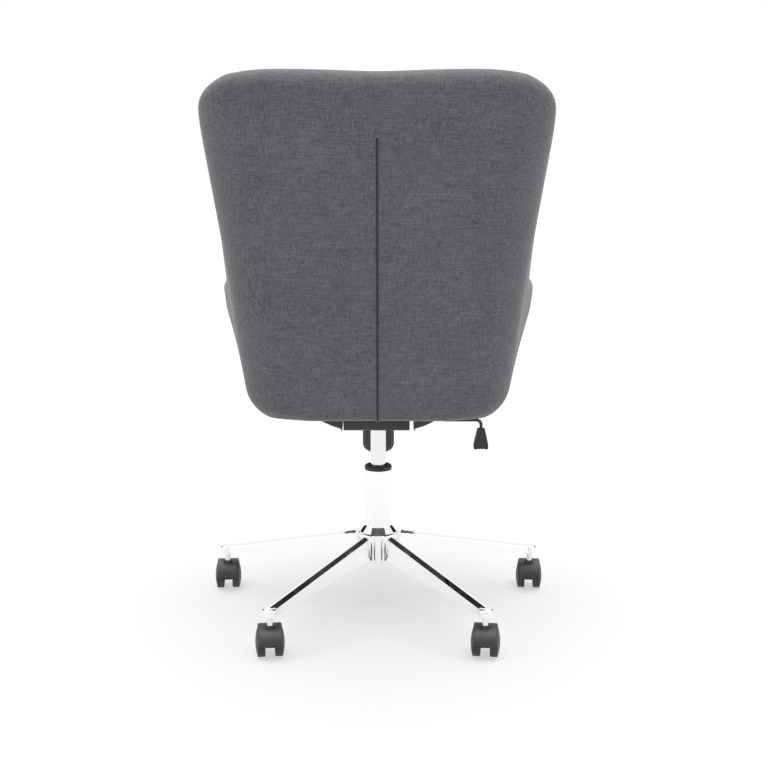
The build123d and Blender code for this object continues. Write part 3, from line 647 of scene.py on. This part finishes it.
def zip_coil(high):
    """The zip's teeth: small round beads in two staggered rows."""
    beads = []
    path = respaced([point for point, _ in rear_line(high)], 0.0024)
    for i, point in enumerate(path):
        side = 0.00055 if i % 2 else -0.00055
        ends = [point + Vector((side + reach, 0, 0)) for reach in (-0.0004, 0.0004)]
        beads.append(tube("bead", ends, 0.0007, 6))
    return joined("zip_coil", beads)


def zip_lips(high):
    """Two folded edges of the cover that close over the zip."""
    lips = []
    for side in (-1, 1):
        line = rear_line(high)
        path = [point - out * 0.0009 + Vector((side * 0.0024, 0, 0)) for point, out in line]
        lips.append(tube("lip", path, 0.0014, 8))
    return joined("zip_lips", lips)


def zip_tack(z):
    """Short bar of thread across the top of the zip."""
    rows = []
    for i in range(4):
        height = z + i * 0.0006
        y = rear_y(height) + 0.0004
        path = [(-0.0022, y, height), (0, y + 0.0004, height), (0.0022, y, height)]
        rows.append(tube("row", path, 0.0004, 6))
    return joined("zip_tack", rows)


def spring():
    """Coil spring between the knob and the channel's floor, its ends closed."""
    low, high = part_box("tension_spring")
    wire = 0.0025
    radius = (high.x - low.x) / 2 - wire
    middle_y = (low.y + high.y) / 2
    turns, steps = 6.5, 36
    points = []
    count = int(turns * steps)
    for i in range(count + 1):
        turn = 2 * math.pi * i / steps
        share = min(max((i / steps - 0.75) / (turns - 1.5), 0), 1)
        z = low.z + wire + (high.z - low.z - 2 * wire) * share
        points.append((radius * math.cos(turn), middle_y + radius * math.sin(turn), z))
    return tube("spring", points, wire, 12)


# ---------------------------------------------------------------- materials
class Paint:
    """A material's node tree, with short ways to add to it."""

    def __init__(self, name, colour, roughness, metallic=0.0):
        self.material = bpy.data.materials.new(name)
        self.material.use_nodes = True
        self.tree = self.material.node_tree
        self.shader = self.tree.nodes["Principled BSDF"]
        self.set(self.shader, "Base Color", (*colour, 1))
        self.set(self.shader, "Roughness", roughness)
        self.set(self.shader, "Metallic", metallic)
        self.place = self.tree.nodes.new("ShaderNodeTexCoord").outputs["Object"]

    def set(self, node, socket, value):
        node.inputs[socket].default_value = value

    def link(self, out, into):
        self.tree.links.new(out, into)

    def stretched(self, scale):
        """Object coordinates scaled by a different amount along each axis."""
        node = self.tree.nodes.new("ShaderNodeMapping")
        self.set(node, "Scale", scale)
        self.link(self.place, node.inputs["Vector"])
        return node.outputs["Vector"]

    def noise(self, scale, detail=3.0, roughness=0.5, place=None):
        node = self.tree.nodes.new("ShaderNodeTexNoise")
        self.set(node, "Scale", scale)
        self.set(node, "Detail", detail)
        self.set(node, "Roughness", roughness)
        self.link(place or self.place, node.inputs["Vector"])
        return node.outputs[0]

    def maths(self, operation, a, b=0.0):
        node = self.tree.nodes.new("ShaderNodeMath")
        node.operation = operation
        for value, socket in ((a, node.inputs[0]), (b, node.inputs[1])):
            if isinstance(value, float):
                socket.default_value = value
            else:
                self.link(value, socket)
        return node.outputs[0]

    def spread(self, value, low, high, to_low, to_high):
        node = self.tree.nodes.new("ShaderNodeMapRange")
        sockets = ("From Min", "From Max", "To Min", "To Max")
        for socket, number in zip(sockets, (low, high, to_low, to_high)):
            self.set(node, socket, number)
        self.link(value, node.inputs["Value"])
        return node.outputs[0]

    def mix(self, share, dark, light):
        """Base colour between two, by a share from 0 to 1."""
        node = self.tree.nodes.new("ShaderNodeMix")
        node.data_type = "RGBA"
        node.inputs[6].default_value = (*dark, 1)
        node.inputs[7].default_value = (*light, 1)
        self.link(share, node.inputs[0])
        self.link(node.outputs[2], self.shader.inputs["Base Color"])

    def bump(self, height, distance, strength=1.0):
        node = self.tree.nodes.new("ShaderNodeBump")
        self.set(node, "Distance", distance)
        self.set(node, "Strength", strength)
        self.link(height, node.inputs["Height"])
        self.link(node.outputs["Normal"], self.shader.inputs["Normal"])

    def rough(self, value):
        self.link(value, self.shader.inputs["Roughness"])


def linen(name, dark, light):
    """Flat woven cloth of uneven yarns: slubs run up and across, over a fine plain weave."""
    paint = Paint(name, light, 0.92)
    slubs = []
    for scale in ((430, 430, 48), (48, 430, 430), (430, 48, 430)):
        slubs.append(paint.noise(1.0, 2.0, 0.6, paint.stretched(scale)))
    streaks = paint.maths("ADD", paint.maths("ADD", slubs[0], slubs[1]), slubs[2])
    fine = paint.noise(900.0, 1.0)
    clouds = paint.noise(9.0, 3.0)
    yarn = paint.maths("ADD", streaks, paint.maths("MULTIPLY", fine, 0.5))
    yarn = paint.maths("ADD", yarn, paint.maths("MULTIPLY", clouds, 0.25))
    paint.mix(paint.spread(yarn, 1.55, 2.20, 0.0, 1.0), dark, light)
    split = paint.tree.nodes.new("ShaderNodeSeparateXYZ")
    paint.link(paint.place, split.inputs[0])
    waves = [paint.maths("SINE", paint.maths("MULTIPLY", out, 4800.0)) for out in split.outputs]
    weave = paint.maths("MULTIPLY", paint.maths("MULTIPLY", waves[0], waves[2]), 0.25)
    other = paint.maths("MULTIPLY", paint.maths("MULTIPLY", waves[1], waves[2]), 0.25)
    weave = paint.maths("ADD", weave, other)
    paint.bump(paint.maths("ADD", weave, streaks), 0.0005, 0.5)
    paint.set(paint.shader, "Sheen Weight", 0.25)
    paint.set(paint.shader, "Sheen Roughness", 0.5)
    paint.set(paint.shader, "Specular IOR Level", 0.2)
    return paint.material


def chrome():
    """Polished chrome with a faint haze and fine wipe marks."""
    paint = Paint("chrome", (0.90, 0.905, 0.91), 0.05, 1.0)
    haze = paint.noise(14.0, 4.0)
    paint.rough(paint.spread(haze, 0.3, 0.7, 0.03, 0.07))
    paint.bump(paint.noise(1.0, 2.0, 0.5, paint.stretched((300, 300, 40))), 0.00002, 0.3)
    return paint.material


def ground_steel():
    """Ground tube: rings of very fine turning marks."""
    paint = Paint("ground_steel", (0.80, 0.80, 0.81), 0.16, 1.0)
    marks = paint.noise(1.0, 2.0, 0.5, paint.stretched((8, 8, 2200)))
    paint.rough(paint.spread(marks, 0.3, 0.7, 0.10, 0.22))
    paint.bump(marks, 0.00003, 0.4)
    return paint.material


def powder_steel():
    """Black powder-coated steel with a slight orange peel, duller where it is handled."""
    paint = Paint("powder_steel", (0.028, 0.028, 0.030), 0.4)
    peel = paint.noise(650.0, 2.0)
    paint.mix(paint.noise(25.0, 3.0), (0.022, 0.022, 0.024), (0.040, 0.040, 0.043))
    paint.rough(paint.spread(paint.noise(30.0, 3.0), 0.3, 0.7, 0.32, 0.5))
    paint.bump(peel, 0.00012, 0.6)
    return paint.material


def zinc_steel():
    paint = Paint("zinc_steel", (0.55, 0.55, 0.54), 0.35, 1.0)
    spangle = paint.noise(120.0, 4.0)
    paint.mix(spangle, (0.42, 0.42, 0.41), (0.66, 0.66, 0.65))
    paint.rough(paint.spread(spangle, 0.3, 0.7, 0.25, 0.45))
    paint.bump(paint.noise(400.0), 0.00005, 0.5)
    return paint.material


def moulded_plastic():
    """Matt black plastic with the fine spark grain of its mould."""
    paint = Paint("moulded_plastic", (0.045, 0.045, 0.047), 0.5)
    paint.mix(paint.noise(40.0, 3.0), (0.020, 0.020, 0.021), (0.031, 0.031, 0.033))
    paint.rough(paint.spread(paint.noise(500.0, 2.0), 0.3, 0.7, 0.42, 0.6))
    paint.bump(paint.noise(1500.0, 2.0), 0.00008, 0.6)
    return paint.material


def rubber():
    paint = Paint("rubber", (0.02, 0.02, 0.02), 0.8)
    paint.mix(paint.noise(60.0), (0.014, 0.014, 0.014), (0.030, 0.030, 0.029))
    paint.bump(paint.noise(900.0), 0.0001, 0.5)
    return paint.material


def plywood():
    """Birch plywood: long grain with darker pores."""
    paint = Paint("plywood", (0.55, 0.40, 0.24), 0.6)
    grain = paint.noise(1.0, 5.0, 0.6, paint.stretched((14, 180, 600)))
    paint.mix(paint.spread(grain, 0.35, 0.7, 0.0, 1.0), (0.60, 0.44, 0.27), (0.38, 0.25, 0.13))
    paint.bump(grain, 0.0002, 0.5)
    return paint.material


def under_cloth():
    """Black spun-bonded cloth with its grid of small welds."""
    paint = Paint("under_cloth", (0.018, 0.018, 0.018), 0.9)
    fibres = paint.noise(700.0, 4.0, 0.7)
    paint.mix(fibres, (0.010, 0.010, 0.010), (0.035, 0.035, 0.036))
    split = paint.tree.nodes.new("ShaderNodeSeparateXYZ")
    paint.link(paint.place, split.inputs[0])
    waves = [paint.maths("SINE", paint.maths("MULTIPLY", out, 2600.0)) for out in split.outputs[:2]]
    paint.bump(paint.maths("ADD", paint.maths("MULTIPLY", waves[0], waves[1]), fibres), 0.0003, 0.6)
    return paint.material


def zip_tape():
    paint = Paint("zip_tape", (0.012, 0.012, 0.013), 0.75)
    paint.mix(paint.noise(800.0), (0.008, 0.008, 0.009), (0.022, 0.022, 0.024))
    paint.bump(paint.noise(1800.0), 0.0001, 0.5)
    return paint.material


# ---------------------------------------------------------------- stage, camera and lights
def camera():
    data = bpy.data.cameras.new("camera")
    data.sensor_width = 36.0
    data.lens = 59.8125
    made = bpy.data.objects.new("camera", data)
    bpy.context.collection.objects.link(made)
    made.location = (-0.0107, 2.297, 0.855)
    made.rotation_euler = (math.radians(90.0 - 10.57), 0, math.radians(180.0))
    bpy.context.scene.camera = made


def area_light(name, place, target, size, power):
    data = bpy.data.lights.new(name, "AREA")
    data.shape = "RECTANGLE"
    data.size, data.size_y = size
    data.energy = power
    made = bpy.data.objects.new(name, data)
    bpy.context.collection.objects.link(made)
    made.location = place
    made.rotation_euler = (Vector(target) - Vector(place)).to_track_quat("-Z", "Y").to_euler()
    return made


def overhead(strength):
    """Broad light from straight above, even over the whole floor."""
    data = bpy.data.lights.new("overhead", "SUN")
    data.energy = strength
    data.angle = math.radians(70)
    made = bpy.data.objects.new("overhead", data)
    bpy.context.collection.objects.link(made)


def floor():
    made = mesh_object("floor", [(-30, -30, 0), (30, -30, 0), (30, 30, 0), (-30, 30, 0)], [(0, 1, 2, 3)])
    paint = Paint("floor_paint", (0.25, 0.25, 0.25), 0.8)
    paint.set(paint.shader, "Emission Color", (1, 1, 1, 1))
    paint.set(paint.shader, "Emission Strength", 0.58)
    paint.set(paint.shader, "Specular IOR Level", 0.0)
    made.data.materials.append(paint.material)


def dark_card(name, middle, size, facing):
    """A black panel seen only in reflections, to give the chrome its dark lines."""
    half_x, half_z = size[0] / 2, size[1] / 2
    corners = [(-half_x, 0, -half_z), (half_x, 0, -half_z), (half_x, 0, half_z), (-half_x, 0, half_z)]
    made = mesh_object(name, corners, [(0, 1, 2, 3)])
    made.location = middle
    made.rotation_euler = (Vector(facing) - Vector(middle)).to_track_quat("Y", "Z").to_euler()
    made.data.materials.append(Paint(name + "_paint", (0.005, 0.005, 0.005), 1.0).material)
    made.visible_camera = False
    made.visible_diffuse = False
    made.visible_shadow = False
    made.visible_transmission = False


def world(seen, lighting):
    """White all round: one strength for what is seen directly or reflected, one for diffuse light."""
    made = bpy.data.worlds.new("studio")
    bpy.context.scene.world = made
    made.use_nodes = True
    tree = made.node_tree
    background = tree.nodes["Background"]
    background.inputs["Color"].default_value = (1, 1, 1, 1)
    rays = tree.nodes.new("ShaderNodeLightPath")
    spread = tree.nodes.new("ShaderNodeMapRange")
    spread.inputs["To Min"].default_value = seen
    spread.inputs["To Max"].default_value = lighting
    tree.links.new(rays.outputs["Is Diffuse Ray"], spread.inputs["Value"])
    tree.links.new(spread.outputs[0], background.inputs["Strength"])


camera()
floor()
world(1.0, 0.30)
overhead(5.0)
area_light("left", (2.6, 1.0, 1.4), (0, 0, 0.5), (1.6, 2.2), 14)
area_light("right", (-2.6, 1.0, 1.4), (0, 0, 0.5), (1.6, 2.2), 14)
dark_card("card_left", (2.2, -2.0, 0.9), (1.6, 1.6), (0, 0, 0.1))
dark_card("card_right", (-2.2, -2.0, 0.9), (1.6, 1.6), (0, 0, 0.1))
dark_card("card_behind_camera", (0, 6.0, 1.1), (9.0, 1.2), (0, 0, 0.1))
bpy.context.scene.view_settings.view_transform = "Standard"


# ---------------------------------------------------------------- the chair's own pieces
FABRIC = linen("linen", (0.078, 0.077, 0.086), (0.150, 0.148, 0.161))
# A darker copy of the same linen for the piping and the zip's lips: painted shade along the seams.
LINEN_PAINTED_SHADE = linen("linen_painted_shade", (0.070, 0.069, 0.077), (0.122, 0.120, 0.131))


def finish_piece(made, material, body, slot, *stands_for, fill=None):
    made.data.materials.clear()
    made.data.materials.append(material)
    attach(made, body)
    if stands_for:
        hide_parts(*stands_for)


finish_piece(tub_cover(), FABRIC, "tilt", "grey_fabric", "outer_cover", fill=1.0)
finish_piece(arm_pad("arm_pad_left", 1), FABRIC, "tilt", "grey_fabric", "arm_cushion_left", fill=0.9)
finish_piece(arm_pad("arm_pad_right", -1), FABRIC, "tilt", "grey_fabric", "arm_cushion_right", fill=0.9)
finish_piece(back_pad(), FABRIC, "tilt", "grey_fabric", "back_cushion", fill=0.8)
finish_piece(seat_cushion(), FABRIC, "tilt", "grey_fabric", "seat_cushion", fill=0.8)
finish_piece(front_rail(), FABRIC, "tilt", "grey_fabric")
edge_piping = tube("edge_piping", respaced(seam_path(SEAM, WALL - 0.0012), 0.005), PIPING)
finish_piece(edge_piping, LINEN_PAINTED_SHADE, "tilt", "grey_fabric")
cushion_piping = tube("cushion_piping", cushion_seam(), PIPING, closed=True)
finish_piece(cushion_piping, LINEN_PAINTED_SHADE, "tilt", "grey_fabric")

ZIP_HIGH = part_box("back_zip")[1].z
tape = rear_strip("zip_tape_strip", 0.0016, ZIP_HIGH, 0.0004, 0.003)
finish_piece(tape, zip_tape(), "tilt", "zip_tape", "back_zip")
finish_piece(zip_coil(ZIP_HIGH), moulded_plastic(), "tilt", "zip_tape")
finish_piece(zip_lips(ZIP_HIGH + 0.002), LINEN_PAINTED_SHADE, "tilt", "grey_fabric")
thread = linen("thread", (0.16, 0.16, 0.17), (0.24, 0.24, 0.25))
finish_piece(zip_tack(ZIP_HIGH), thread, "tilt", "grey_fabric")

coil = spring()
finish_piece(coil, powder_steel(), "lift", "black_steel", "tension_spring")
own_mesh(coil)

FINISHES = {
    "chromed_steel": chrome(),
    "column_steel": ground_steel(),
    "black_steel": powder_steel(),
    "zinc_steel": zinc_steel(),
    "black_plastic": moulded_plastic(),
    "black_rubber": rubber(),
    "plywood": plywood(),
    "under_cloth": under_cloth(),
    "zip_tape": zip_tape(),
    "grey_fabric": FABRIC,
}
for part in frame["record"]["subparts"]:
    for place in frame["nodes"][part["node"]].material_slots:
        place.material = FINISHES[part["material_slot"]]
